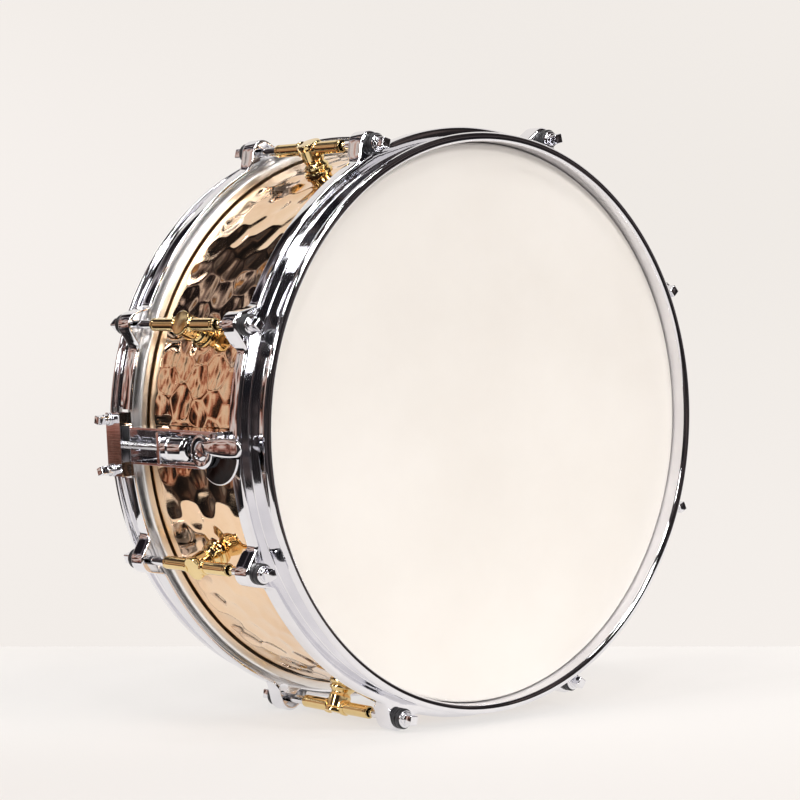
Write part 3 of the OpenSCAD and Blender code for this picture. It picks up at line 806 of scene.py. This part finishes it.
def thread(radius, pitch, z0, z1, columns=24):
    """A rod with a helical thread of the given pitch."""
    rows = int((z1 - z0) / pitch * 6)
    depth = 0.3
    verts = []
    for row in range(rows + 1):
        z = z0 + (z1 - z0) * row / rows
        for c in range(columns):
            phase = (z / pitch - c / columns) % 1
            r = radius - depth * abs(2 * phase - 1)
            a = 2 * math.pi * c / columns
            verts.append((r * math.cos(a), r * math.sin(a), z))
    faces = grid_faces(rows + 1, columns, False, True).tolist()
    faces.append(list(range(columns))[::-1])
    faces.append([rows * columns + c for c in range(columns)])
    return verts, faces


def tension_screw():
    """Threaded screw between the knob and the strap clamp."""
    low, high = box_mm("tension_screw")
    shapes = Shapes().add(thread(2.4, 0.8, low.z, high.z), Matrix.Translation((-SCREW_AXIS_R, 0, 0)))
    shapes_piece("snare_tension_screw", shapes, STEEL, "clamp", ["tension_screw"], 80)


def clamp_screws(name, node, azimuth, body):
    """Two key-headed screws that pinch a strap: shank, washer, collar and square peg."""
    low, high = box_mm(node)
    inner, outer = min(abs(low.x), abs(high.x)), max(abs(low.x), abs(high.x))
    face = SHELL_R + 18.4
    height = 18.5
    shapes = Shapes()
    profile = rounded([(1.9, 0), (1.9, face - inner + 0.02), (4, face - inner + 0.02, 0.3),
                       (4, face - inner + 1.6, 0.5), (3.2, face - inner + 1.7, 0.2),
                       (3.1, face - inner + 4.6, 0.6), (1, face - inner + 5)], 4)
    peg = prism(rectangle(5.2, 5.2, 0.6), face - inner + 4, outer - inner, 0.6, 4)
    for y in (-SCREW_SPREAD, SCREW_SPREAD):
        place = about_z(azimuth) @ outward(inner, y, height)
        shapes.add(lathe(profile, 40), place)
        shapes.add(peg, place @ about_z(20 if y > 0 else -12))
    shapes_piece(name, shapes, ROD_CHROME, body, [node], 35)


def lever():
    """Hub disc with a raised rim, and a thick arm that narrows behind the hub and swells at its end."""
    place = outward(0, 0, PIVOT_Z, THROW_OFF)
    hub = rounded([(6.4, LEVER_R0, 0.2), (6.4, LEVER_R1 - 0.5, 0.8), (10.1, LEVER_R1, 0.6),
                   (10.5, LEVER_R1 + 1.2, 0.5), (10.5, LEVER_R2 - 0.6, 0.9), (8.6, LEVER_R2, 0.5),
                   (6.2, LEVER_R2 - 0.5, 0.4), (5.7, LEVER_R2 - 1.6, 0.2), (1, LEVER_R2 - 1.6)], 5)
    shapes = Shapes().add(lathe(hub, 72), place)
    stations = 26
    rings = []
    around = 28
    for s in range(stations):
        t = s / (stations - 1)
        along = 4 + 34 * t
        width = 4.2 + 1.2 * math.sin(math.pi * min(1, t * 1.05)) * (t > 0.1) + 0.8 * t
        thick = 1.75 + 0.35 * math.sin(2 * math.pi * t)
        taper = math.sqrt(max(0.02, 1 - max(0, (t - 0.86) / 0.14) ** 2))
        mid = (LEVER_R1 + LEVER_R2) / 2 - 0.1
        ring = []
        for k in range(around):
            a = 2 * math.pi * k / around
            c, sn = math.cos(a), math.sin(a)
            power = 0.62
            y = width * taper * math.copysign(abs(c) ** power, c)
            r = thick * taper ** 0.6 * math.copysign(abs(sn) ** power, sn)
            ring.append((-(mid + r), ARM_Y + y, PIVOT_Z + along))
        rings.append(ring)
    verts = [v for ring in rings for v in ring]
    faces = [face[::-1] for face in grid_faces(stations, around, False, True).tolist()]
    faces.append(list(range(around)))
    faces.append([(stations - 1) * around + k for k in range(around)][::-1])
    shapes.add((verts, faces))
    shapes_piece("swing_lever", shapes, STRAINER_CHROME, "lever", ["throw_off_lever"], 35)


def tube_along(path, radius, flat, sides=14):
    """A closed rod along a path in the Y-Z plane, flattened along X."""
    verts = []
    for k, point in enumerate(path):
        ahead = path[min(k + 1, len(path) - 1)] - path[max(k - 1, 0)]
        side = ahead.cross(Vector((1, 0, 0))).normalized()
        for s in range(sides):
            a = 2 * math.pi * s / sides
            verts.append(tuple(point + side * radius * math.cos(a) + Vector((radius * flat * math.sin(a), 0, 0))))
    faces = grid_faces(len(path), sides, False, True).tolist()
    faces.append(list(range(sides))[::-1])
    faces.append([(len(path) - 1) * sides + s for s in range(sides)])
    return verts, faces


def paddle():
    """D-shaped thumb paddle: a dished plate with a rolled rim along its round edge, cut clear of the hub. Its
    near-black colour is painted reflection: it stands in for the dark room mirrored in the chrome plate.
    """
    back = LEVER_R1 - 2
    reach_down = 12
    mid_z = PIVOT_Z + reach_down
    radius = 19.0
    straight_y = -3.6
    start = math.asin((0.6 - reach_down) / radius)
    stop = math.acos(-straight_y / radius)
    round_edge = [(-radius * math.cos(a), mid_z + radius * math.sin(a)) for a in np.linspace(start, stop, 45)]
    corner_y = round_edge[0][0]
    hub_edge = [(straight_y, PIVOT_Z + 6.4), (-5.4, PIVOT_Z + 5.0), (-6.9, PIVOT_Z + 2.8)]
    foot = [(y, PIVOT_Z + 0.6) for y in np.linspace(-7.6, corner_y, 6, endpoint=False)]
    outline = hub_edge + foot + round_edge
    centre = Vector((straight_y, mid_z + 1))
    rows, width = 16, len(outline)
    front, rear = [], []
    for row in range(rows):
        t = 0.03 + 0.97 * row / (rows - 1)
        dish = 0.75 * (1 - t * t)
        for y, z in outline:
            place = centre + (Vector((y, z)) - centre) * t
            front.append((-(back + 2.0 - dish), place.x, place.y))
            rear.append((-(back + 0.9 - 0.9 * dish), place.x, place.y))
    skin = grid_faces(rows, width, False, False).tolist()
    shift = len(front)
    faces = [face[::-1] for face in skin] + [[shift + v for v in face] for face in skin]
    last = (rows - 1) * width
    for k in range(width - 1):
        faces.append([last + k, last + k + 1, shift + last + k + 1, shift + last + k][::-1])
        faces.append([k, k + 1, shift + k + 1, shift + k])
    for row in range(rows - 1):
        a, b = row * width, (row + 1) * width
        faces.append([a, b, shift + b, shift + a][::-1])
        a, b = a + width - 1, b + width - 1
        faces.append([a, b, shift + b, shift + a])
    # The plate's near-black colour is painted reflection of a dark room, not the paddle's own finish.
    shapes_piece("thumb_paddle", Shapes().add((front + rear, faces)), PAINTED_DARK_REFLECTION, "lever", ["lever_paddle"],
                 50)
    path = [Vector((-(back + 1.1), y, z)) for y, z in round_edge]
    shapes_piece("thumb_paddle_rim", Shapes().add(tube_along(path, 0.95, 0.9)), STRAINER_CHROME, "lever", [],
                 50)


def lever_screw():
    """Domed, slotted screw in the hub."""
    place = outward(0, 0, PIVOT_Z, THROW_OFF)
    top = LEVER_R2 + 0.3
    profile = rounded([(1.9, LEVER_R0 - 4, 0.2), (1.9, LEVER_R2 - 1.55), (5.45, LEVER_R2 - 1.55, 0.2),
                       (5.45, LEVER_R2 - 0.5, 0.4), (3.2, top - 0.05, 1.5), (1, top)], 5)
    piece = mesh_object("hub_screw", *placed(lathe(profile, 56), place), STRAINER_CHROME)
    slot = box_shape((-0.6, -6, top - 0.9), (0.6, 6, top + 1))
    turn = place @ about_z(62)
    cut(piece, Shapes().add(slot, turn))
    place_piece(piece, "lever", ["lever_screw"])


def placed(shape, place):
    shapes = Shapes().add(shape, place)
    return shapes.verts, shapes.faces


def throw_off():
    for node, body, bevel in (("strainer_frame", "root", 0.5), ("strainer_carriage", "carriage", 0.25),
                              ("strap_clamp_block", "clamp", 0.7), ("strap_clamp_jaw", "clamp", 0.4)):
        bevelled_node(node, STRAINER_CHROME, body, bevel)
    bevelled_node("cam_spindle", STEEL, "lever", 0.2)
    knob()
    tension_screw()
    clamp_screws("strap_key_screws", "strap_clamp_screws", THROW_OFF, "clamp")
    lever()
    paddle()
    lever_screw()


def butt():
    bevelled_node("butt_body", STRAINER_CHROME, "root", 0.9)
    bevelled_node("butt_clamp_plate", STRAINER_CHROME, "root", 0.7)
    clamp_screws("butt_key_screws", "butt_clamp_screws", 0, "root")


def inner_screws():
    for node in ("lug_screws", "strainer_screws", "butt_screws", "shell_washers"):
        bevelled_node(node, STEEL, "root", 0.25)


# ---- Snares ----


def snare_wires():
    """Twenty coiled strands, each a helix of fine wire."""
    low, high = box_mm("snare_wires")
    strands = 20
    coil_r = (high.z - low.z) / 2
    wire_r = 0.24
    pitch = 1.9
    coil_pitch = 2.0
    steps, sides = 9, 4
    mid_z = (low.z + high.z) / 2
    turns = int((high.x - low.x) / coil_pitch)
    count = turns * steps + 1
    t = np.arange(count) / steps
    x = low.x + (high.x - low.x) * np.arange(count) / (count - 1)
    shapes_verts = []
    shapes_faces = []
    for k in range(strands):
        mid_y = (k - (strands - 1) / 2) * pitch
        a = 2 * math.pi * (t + 0.37 * k)
        ring = []
        for s in range(sides):
            b = 2 * math.pi * s / sides
            r = coil_r - wire_r + wire_r * math.cos(b)
            ring.append(np.stack([x + wire_r * math.sin(b), mid_y + r * np.cos(a), mid_z + r * np.sin(a)], -1))
        verts = np.stack(ring, 1).reshape(-1, 3)
        base = k * len(verts)
        shapes_verts.append(verts)
        shapes_faces.append(grid_faces(count, sides, False, True)[:, ::-1] + base)
    piece = mesh_object("coiled_snares", np.concatenate(shapes_verts), np.concatenate(shapes_faces), SNARE_STEEL, 180)
    place_piece(piece, "root", ["snare_wires"])
    for side in (1, 2):
        bevelled_node(f"snare_end_plate_{side}", PLATE_BRASS, "root", 0.3)


def straps():
    bevelled_node("butt_strap", RIBBON, "root", 0.08)
    strap = bevelled_node("strainer_strap", RIBBON, None, 0.08)
    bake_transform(strap)


# ---- Stage, camera and light ----

PHOTO_UP = Vector((0.0626, 0.998, 0)).normalized()
CAMERA_AZIMUTH = 173.53
CAMERA_ELEVATION = 48.86
CAMERA_DISTANCE = 1.671
CAMERA_RIGHT = 0.0458
CAMERA_RISE = 0.0109
LENS = 109.86
FLOOR_DROP = 0.1920
WALL_DISTANCE = 1.92


def camera_axes():
    """Right, up and back directions of the camera. It stands level with the floor that the drum stands on."""
    azimuth, elevation = math.radians(CAMERA_AZIMUTH), math.radians(CAMERA_ELEVATION)
    back = Vector((math.cos(elevation) * math.cos(azimuth), math.cos(elevation) * math.sin(azimuth),
                   math.sin(elevation)))
    right = PHOTO_UP.cross(back).normalized()
    return right, back.cross(right), back


RIGHT, UP, BACK = camera_axes()


def place_camera():
    camera = bpy.data.cameras.new("camera")
    camera.lens = LENS
    camera.sensor_width = 36
    camera.clip_end = 50
    piece = bpy.data.objects.new("camera", camera)
    spot = BACK * CAMERA_DISTANCE + RIGHT * CAMERA_RIGHT + UP * CAMERA_RISE
    axes = Matrix((RIGHT, UP, BACK)).transposed().to_4x4()
    piece.matrix_world = Matrix.Translation(spot) @ axes
    bpy.context.scene.collection.objects.link(piece)
    bpy.context.scene.camera = piece
    return spot


def backdrop_material(name, stops, diffuse_share):
    """Lit paper: an even glow with a slow drift in tone, and a share of plain diffuse paint that takes
    the drum's shadow. It shows only on the side that faces the drum, so it never hides another view."""
    n = Nodes(name)
    n.set(Roughness=0.8, Specular_IOR_Level=0.1)
    paint = tuple(0.8 * c for c in stops[0][1])
    n.to("Base Color", n.colours(n.noise(2, 2), [(0.3, paint), (0.7, paint)]))
    glow = n.add("ShaderNodeEmission")
    drift = n.noise(1.3, 1)
    n.link(n.colours(drift, stops), glow.inputs["Color"])
    mix = n.add("ShaderNodeMixShader")
    mix.inputs[0].default_value = diffuse_share
    n.link(glow.outputs[0], mix.inputs[1])
    n.link(n.shader.outputs[0], mix.inputs[2])
    geometry = n.add("ShaderNodeNewGeometry")
    clear = n.add("ShaderNodeBsdfTransparent")
    sided = n.add("ShaderNodeMixShader")
    n.link(geometry.outputs["Backfacing"], sided.inputs[0])
    n.link(mix.outputs[0], sided.inputs[1])
    n.link(clear.outputs[0], sided.inputs[2])
    n.link(sided.outputs[0], n.tree.nodes["Material Output"].inputs["Surface"])
    return n.material


def sheet_object(name, corners, material):
    mesh = bpy.data.meshes.new(name)
    mesh.from_pydata([tuple(c) for c in corners], [], [(0, 1, 2, 3)])
    mesh.materials.append(material)
    piece = bpy.data.objects.new(name, mesh)
    bpy.context.scene.collection.objects.link(piece)


def stage(camera_spot):
    """A pale table and a pale backdrop. They end beside the drum, where the darker room begins."""
    level_back = (BACK - PHOTO_UP * BACK.dot(PHOTO_UP)).normalized()
    base = -PHOTO_UP * FLOOR_DROP
    wall = camera_spot - level_back * WALL_DISTANCE
    wall -= PHOTO_UP * (wall - base).dot(PHOTO_UP)
    left, right, near, top = -RIGHT * 0.45, RIGHT * 1.1, level_back * 1.0, PHOTO_UP * 1.3
    sheet_object("floor", [wall + left, wall + near + left, wall + near + right, wall + right],
                 backdrop_material("table_paper", [(0.35, (0.93, 0.89, 0.86)), (0.65, (0.98, 0.96, 0.94))], 0.35))
    sheet_object("wall", [wall + left, wall + right, wall + top + right, wall + top + left],
                 backdrop_material("backdrop_paper", [(0.35, (0.87, 0.83, 0.79)), (0.65, (0.93, 0.885, 0.85))],
                                   0.06))


def area_light(name, right, up, back, width, height, power, colour=(1, 1, 1)):
    """A softbox at an offset from the drum along the camera's axes, aimed at the drum."""
    light = bpy.data.lights.new(name, "AREA")
    light.shape = "RECTANGLE"
    light.size = width
    light.size_y = height
    light.energy = power
    light.color = colour
    piece = bpy.data.objects.new(name, light)
    piece.location = RIGHT * right + UP * up + BACK * back
    piece.rotation_euler = (piece.location - Vector((0, 0, 0.08))).to_track_quat("Z", "Y").to_euler()
    piece.visible_camera = False
    bpy.context.scene.collection.objects.link(piece)


def lights():
    area_light("key", 1.5, 1.3, 1.9, 0.45, 0.45, 12.5, (1, 0.985, 0.96))
    area_light("fill", 0.4, 0.6, 2.4, 0.35, 0.35, 6.5, (1, 0.98, 0.96))
    area_light("top", -0.2, 2.2, 0.5, 0.5, 0.3, 6)


ROOM_LAMPS = ((-0.55, 0.62, 0.56), (-0.30, 0.66, 0.69), (-0.72, 0.45, 0.53), (-0.10, 0.55, 0.83),
              (0.25, 0.62, 0.74), (0.52, 0.50, 0.69), (0.72, 0.42, 0.55), (-0.45, 0.84, 0.30),
              (0.10, 0.86, 0.50), (0.45, 0.82, 0.36), (-0.86, 0.30, 0.41), (0.88, 0.20, 0.43))


def world():
    """A pale room for the camera. The metal mirrors a dark shop with small lamps and coloured clutter."""
    scene_world = bpy.data.worlds.new("room")
    bpy.context.scene.world = scene_world
    scene_world.use_nodes = True
    tree = scene_world.node_tree
    tree.nodes.clear()

    def node(kind, **settings):
        made = tree.nodes.new(kind)
        for key, value in settings.items():
            setattr(made, key, value)
        return made

    def link(source, target):
        tree.links.new(source, target)

    direction = node("ShaderNodeTexCoord").outputs["Generated"]

    def towards(vector, low, high):
        dot = node("ShaderNodeVectorMath", operation="DOT_PRODUCT")
        link(direction, dot.inputs[0])
        dot.inputs[1].default_value = vector
        ranges = node("ShaderNodeMapRange", interpolation_type="SMOOTHSTEP")
        ranges.inputs["From Min"].default_value = low
        ranges.inputs["From Max"].default_value = high
        link(dot.outputs["Value"], ranges.inputs["Value"])
        return ranges.outputs["Result"]

    def mix(factor, first, second):
        mixer = node("ShaderNodeMix", data_type="RGBA")
        link(factor, mixer.inputs["Factor"])
        for socket, value in ((mixer.inputs["A"], first), (mixer.inputs["B"], second)):
            if isinstance(value, tuple):
                socket.default_value = (*value, 1)
            else:
                link(value, socket)
        return mixer.outputs["Result"]

    def clutter(scale, stops):
        noise = node("ShaderNodeTexNoise")
        noise.inputs["Scale"].default_value = scale
        noise.inputs["Detail"].default_value = 2
        link(direction, noise.inputs["Vector"])
        ramp = node("ShaderNodeValToRGB")
        while len(ramp.color_ramp.elements) < len(stops):
            ramp.color_ramp.elements.new(0.5)
        for element, (position, colour) in zip(ramp.color_ramp.elements, stops):
            element.position = position
            element.color = (*colour, 1)
        link(noise.outputs["Fac"], ramp.inputs["Fac"])
        return ramp.outputs["Color"]

    dark = clutter(4.0, [(0.34, (0.008, 0.008, 0.010)), (0.50, (0.022, 0.018, 0.018)),
                         (0.56, (0.10, 0.075, 0.07)), (0.60, (0.02, 0.02, 0.026)), (0.72, (0.20, 0.18, 0.18))])
    bright = clutter(8.0, [(0.36, (0.012, 0.010, 0.010)), (0.43, (0.06, 0.03, 0.02)), (0.48, (0.30, 0.11, 0.08)),
                           (0.53, (0.62, 0.42, 0.34)), (0.60, (0.70, 0.62, 0.56)), (0.68, (0.03, 0.02, 0.02))])
    pale = clutter(6.0, [(0.42, (0.012, 0.010, 0.012)), (0.50, (0.24, 0.20, 0.22)), (0.56, (0.80, 0.74, 0.74)),
                         (0.62, (0.05, 0.04, 0.05)), (0.70, (0.75, 0.42, 0.18))])
    left_side = mix(towards(UP, -0.30, -0.12), dark, bright)
    left_side = mix(towards(UP, 0.28, 0.42), left_side, pale)
    room = mix(towards(-RIGHT, 0.62, 0.80), dark, left_side)
    room = mix(towards(BACK, 0.0, 0.12), room, dark)
    for right, up, back in ROOM_LAMPS:
        lamp = (RIGHT * right + UP * up + BACK * back).normalized()
        room = mix(towards(lamp, 0.9975, 0.9985), room, (26, 25.5, 25))
    path = node("ShaderNodeLightPath")
    seen = mix(path.outputs["Is Camera Ray"], room, (0.90, 0.86, 0.83))
    background = node("ShaderNodeBackground")
    link(seen, background.inputs["Color"])
    link(background.outputs[0], node("ShaderNodeOutputWorld").inputs["Surface"])


spot = place_camera()
stage(spot)
lights()
world()
view = bpy.context.scene.view_settings
view.view_transform = "Standard"

shell()
hoops()
heads()
lugs()
rods()
grommet()
throw_off()
butt()
inner_screws()
snare_wires()
straps()
